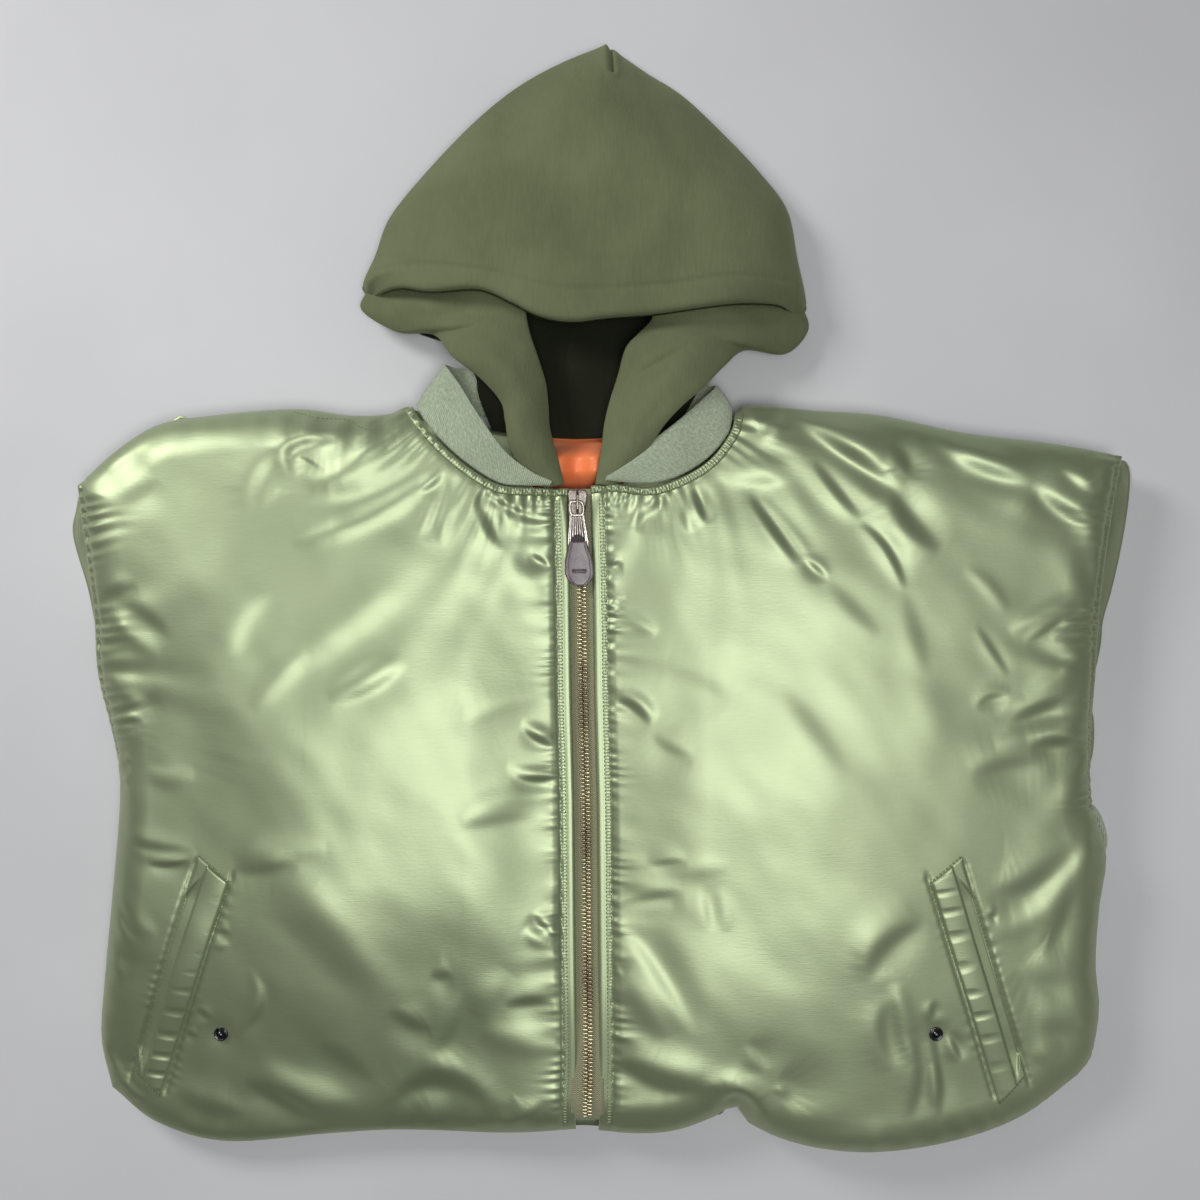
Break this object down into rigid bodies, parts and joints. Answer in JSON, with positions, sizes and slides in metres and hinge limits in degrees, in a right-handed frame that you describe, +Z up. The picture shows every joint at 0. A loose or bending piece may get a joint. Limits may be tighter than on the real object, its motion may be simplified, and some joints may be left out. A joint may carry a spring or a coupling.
{
  "type": "hooded bomber jacket",
  "caption": "Padded hooded bomber jacket laid flat, zipped, with rib collar, slanted welt pockets and snaps, and sleeves folded behind.",
  "frame": {"origin": "on the floor under the middle of the jacket as it lies", "axes": "+Z up from the floor, +Y towards the hood, +X to the right as seen from above"},
  "size_m": [0.8396, 0.8674, 0.07],
  "materials": {
    "nylon": "satin woven nylon over wadding",
    "rib_knit": "fine rib knit",
    "fleece": "brushed cotton fleece, matt",
    "lining": "smooth orange nylon",
    "tape": "herringbone tape",
    "teeth": "aged brass",
    "zip_metal": "antique, worn bright along the edges",
    "leather": "smooth mauve-brown leather",
    "snap_metal": "gunmetal"
  },
  "bodies": {
    "jacket": {"front_left": "nylon", "front_right": "nylon", "back": "nylon", "sleeve_left": "nylon", "sleeve_right": "nylon", "cuff_left": "rib_knit", "cuff_right": "rib_knit", "hem_rib": "rib_knit", "collar_rib": "rib_knit", "hood_crown": "fleece", "hood_back": "fleece", "hood_left": "fleece", "hood_right": "fleece", "neck_lining": "lining", "zip_tape_left": "tape", "zip_tape_right": "tape", "zip_chain": "teeth", "zip_slider": "zip_metal", "pocket_welt_left": "nylon", "pocket_welt_right": "nylon", "snap_left": "snap_metal", "snap_right": "snap_metal"},
    "zip_pull": {"zip_pull": "zip_metal", "pull_tab": "leather"}
  },
  "joints": [
    {"name": "pull_hinge", "type": "hinge", "parent": "jacket", "child": "zip_pull", "pos_m": [-0.0197, 0.0704, 0.0534], "axis": [-1, 0, 0], "range_deg": [0, 140]}
  ]
}
